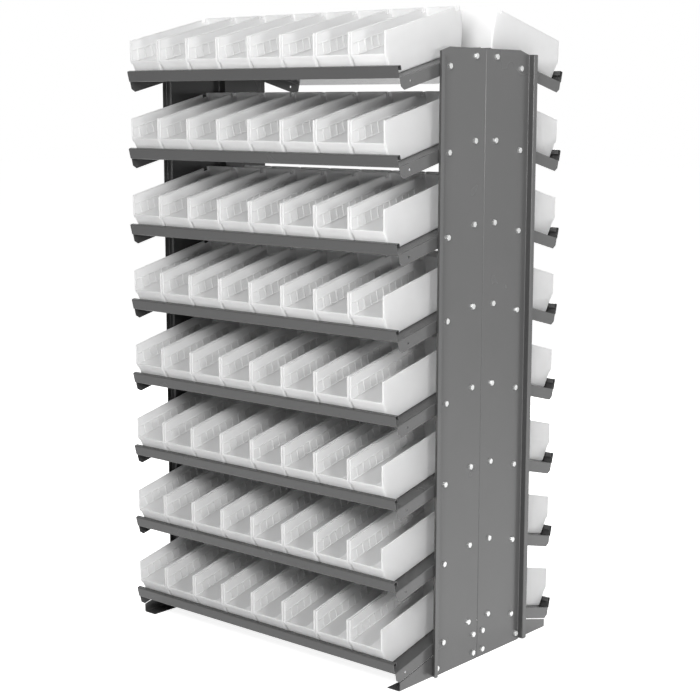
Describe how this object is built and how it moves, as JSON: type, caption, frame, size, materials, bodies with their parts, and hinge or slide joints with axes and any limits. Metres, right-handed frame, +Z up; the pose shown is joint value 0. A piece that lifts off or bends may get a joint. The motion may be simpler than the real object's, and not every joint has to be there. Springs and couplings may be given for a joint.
{
  "type": "bin pick rack",
  "caption": "Double-sided floor rack of folded steel: sloping shelves between two end frames, each holding a row of open-front plastic bins that lift out over a rolled lip.",
  "frame": {"origin": "middle of the rack on the floor, under the seam of the end panels", "axes": "+Z up, X along the shelves, Y from the front side to the back side"},
  "size_m": [0.943, 0.678, 1.6186],
  "materials": {
    "panel_powder_coat": "semi-matt grey powder coat",
    "shelf_powder_coat": "semi-matt grey powder coat",
    "zinc_plate": "bright zinc plate",
    "polypropylene": "natural translucent moulded plastic"
  },
  "bodies": {
    "frame": {"upright_right_front": "panel_powder_coat", "upright_right_back": "panel_powder_coat", "upright_left_front": "panel_powder_coat", "upright_left_back": "panel_powder_coat", "base_right": "panel_powder_coat", "base_left": "panel_powder_coat", "shelf_front_1": "shelf_powder_coat", "shelf_front_2": "shelf_powder_coat", "shelf_front_3": "shelf_powder_coat", "shelf_front_4": "shelf_powder_coat", "shelf_front_5": "shelf_powder_coat", "shelf_front_6": "shelf_powder_coat", "shelf_front_7": "shelf_powder_coat", "shelf_front_8": "shelf_powder_coat", "shelf_back_1": "shelf_powder_coat", "shelf_back_2": "shelf_powder_coat", "shelf_back_3": "shelf_powder_coat", "shelf_back_4": "shelf_powder_coat", "shelf_back_5": "shelf_powder_coat", "shelf_back_6": "shelf_powder_coat", "shelf_back_7": "shelf_powder_coat", "shelf_back_8": "shelf_powder_coat", "shelf_bolts": "zinc_plate", "shelf_nuts": "zinc_plate", "base_bolts": "zinc_plate", "base_nuts": "zinc_plate", "seam_bolts": "zinc_plate", "seam_nuts": "zinc_plate"},
    "bin_front_1": {"bin_front_1": "polypropylene"},
    "bin_front_2": {"bin_front_2": "polypropylene"},
    "bin_front_3": {"bin_front_3": "polypropylene"},
    "bin_front_4": {"bin_front_4": "polypropylene"},
    "bin_front_5": {"bin_front_5": "polypropylene"},
    "bin_front_6": {"bin_front_6": "polypropylene"},
    "bin_front_7": {"bin_front_7": "polypropylene"},
    "bin_front_8": {"bin_front_8": "polypropylene"},
    "bin_back_1": {"bin_back_1": "polypropylene"},
    "bin_back_2": {"bin_back_2": "polypropylene"},
    "bin_back_3": {"bin_back_3": "polypropylene"},
    "bin_back_4": {"bin_back_4": "polypropylene"},
    "bin_back_5": {"bin_back_5": "polypropylene"},
    "bin_back_6": {"bin_back_6": "polypropylene"},
    "bin_back_7": {"bin_back_7": "polypropylene"},
    "bin_back_8": {"bin_back_8": "polypropylene"},
    "bins_front_1": {"bins_front_1": "polypropylene"},
    "bins_front_2": {"bins_front_2": "polypropylene"},
    "bins_front_3": {"bins_front_3": "polypropylene"},
    "bins_front_4": {"bins_front_4": "polypropylene"},
    "bins_front_5": {"bins_front_5": "polypropylene"},
    "bins_front_6": {"bins_front_6": "polypropylene"},
    "bins_front_7": {"bins_front_7": "polypropylene"},
    "bins_front_8": {"bins_front_8": "polypropylene"},
    "bins_back_1": {"bins_back_1": "polypropylene"},
    "bins_back_2": {"bins_back_2": "polypropylene"},
    "bins_back_3": {"bins_back_3": "polypropylene"},
    "bins_back_4": {"bins_back_4": "polypropylene"},
    "bins_back_5": {"bins_back_5": "polypropylene"},
    "bins_back_6": {"bins_back_6": "polypropylene"},
    "bins_back_7": {"bins_back_7": "polypropylene"},
    "bins_back_8": {"bins_back_8": "polypropylene"}
  },
  "joints": [
    {"name": "bin_lift_front_1", "type": "slide", "parent": "frame", "child": "bin_front_1", "axis": [0, -0.4661, 0.8847], "range_m": [0, 0.2]},
    {"name": "row_lift_front_1", "type": "slide", "parent": "frame", "child": "bins_front_1", "axis": [0, -0.4661, 0.8847], "range_m": [0, 0.2]},
    {"name": "bin_lift_front_2", "type": "slide", "parent": "frame", "child": "bin_front_2", "axis": [0, -0.4661, 0.8847], "range_m": [0, 0.09]},
    {"name": "row_lift_front_2", "type": "slide", "parent": "frame", "child": "bins_front_2", "axis": [0, -0.4661, 0.8847], "range_m": [0, 0.09]},
    {"name": "bin_lift_front_3", "type": "slide", "parent": "frame", "child": "bin_front_3", "axis": [0, -0.4661, 0.8847], "range_m": [0, 0.09]},
    {"name": "row_lift_front_3", "type": "slide", "parent": "frame", "child": "bins_front_3", "axis": [0, -0.4661, 0.8847], "range_m": [0, 0.09]},
    {"name": "bin_lift_front_4", "type": "slide", "parent": "frame", "child": "bin_front_4", "axis": [0, -0.4661, 0.8847], "range_m": [0, 0.09]},
    {"name": "row_lift_front_4", "type": "slide", "parent": "frame", "child": "bins_front_4", "axis": [0, -0.4661, 0.8847], "range_m": [0, 0.09]},
    {"name": "bin_lift_front_5", "type": "slide", "parent": "frame", "child": "bin_front_5", "axis": [0, -0.4661, 0.8847], "range_m": [0, 0.09]},
    {"name": "row_lift_front_5", "type": "slide", "parent": "frame", "child": "bins_front_5", "axis": [0, -0.4661, 0.8847], "range_m": [0, 0.09]},
    {"name": "bin_lift_front_6", "type": "slide", "parent": "frame", "child": "bin_front_6", "axis": [0, -0.4661, 0.8847], "range_m": [0, 0.09]},
    {"name": "row_lift_front_6", "type": "slide", "parent": "frame", "child": "bins_front_6", "axis": [0, -0.4661, 0.8847], "range_m": [0, 0.09]},
    {"name": "bin_lift_front_7", "type": "slide", "parent": "frame", "child": "bin_front_7", "axis": [0, -0.4661, 0.8847], "range_m": [0, 0.09]},
    {"name": "row_lift_front_7", "type": "slide", "parent": "frame", "child": "bins_front_7", "axis": [0, -0.4661, 0.8847], "range_m": [0, 0.09]},
    {"name": "bin_lift_front_8", "type": "slide", "parent": "frame", "child": "bin_front_8", "axis": [0, -0.4661, 0.8847], "range_m": [0, 0.09]},
    {"name": "row_lift_front_8", "type": "slide", "parent": "frame", "child": "bins_front_8", "axis": [0, -0.4661, 0.8847], "range_m": [0, 0.09]},
    {"name": "bin_lift_back_1", "type": "slide", "parent": "frame", "child": "bin_back_1", "axis": [0, 0.4661, 0.8847], "range_m": [0, 0.2]},
    {"name": "row_lift_back_1", "type": "slide", "parent": "frame", "child": "bins_back_1", "axis": [0, 0.4661, 0.8847], "range_m": [0, 0.2]},
    {"name": "bin_lift_back_2", "type": "slide", "parent": "frame", "child": "bin_back_2", "axis": [0, 0.4661, 0.8847], "range_m": [0, 0.09]},
    {"name": "row_lift_back_2", "type": "slide", "parent": "frame", "child": "bins_back_2", "axis": [0, 0.4661, 0.8847], "range_m": [0, 0.09]},
    {"name": "bin_lift_back_3", "type": "slide", "parent": "frame", "child": "bin_back_3", "axis": [0, 0.4661, 0.8847], "range_m": [0, 0.09]},
    {"name": "row_lift_back_3", "type": "slide", "parent": "frame", "child": "bins_back_3", "axis": [0, 0.4661, 0.8847], "range_m": [0, 0.09]},
    {"name": "bin_lift_back_4", "type": "slide", "parent": "frame", "child": "bin_back_4", "axis": [0, 0.4661, 0.8847], "range_m": [0, 0.09]},
    {"name": "row_lift_back_4", "type": "slide", "parent": "frame", "child": "bins_back_4", "axis": [0, 0.4661, 0.8847], "range_m": [0, 0.09]},
    {"name": "bin_lift_back_5", "type": "slide", "parent": "frame", "child": "bin_back_5", "axis": [0, 0.4661, 0.8847], "range_m": [0, 0.09]},
    {"name": "row_lift_back_5", "type": "slide", "parent": "frame", "child": "bins_back_5", "axis": [0, 0.4661, 0.8847], "range_m": [0, 0.09]},
    {"name": "bin_lift_back_6", "type": "slide", "parent": "frame", "child": "bin_back_6", "axis": [0, 0.4661, 0.8847], "range_m": [0, 0.09]},
    {"name": "row_lift_back_6", "type": "slide", "parent": "frame", "child": "bins_back_6", "axis": [0, 0.4661, 0.8847], "range_m": [0, 0.09]},
    {"name": "bin_lift_back_7", "type": "slide", "parent": "frame", "child": "bin_back_7", "axis": [0, 0.4661, 0.8847], "range_m": [0, 0.09]},
    {"name": "row_lift_back_7", "type": "slide", "parent": "frame", "child": "bins_back_7", "axis": [0, 0.4661, 0.8847], "range_m": [0, 0.09]},
    {"name": "bin_lift_back_8", "type": "slide", "parent": "frame", "child": "bin_back_8", "axis": [0, 0.4661, 0.8847], "range_m": [0, 0.09]},
    {"name": "row_lift_back_8", "type": "slide", "parent": "frame", "child": "bins_back_8", "axis": [0, 0.4661, 0.8847], "range_m": [0, 0.09]}
  ]
}
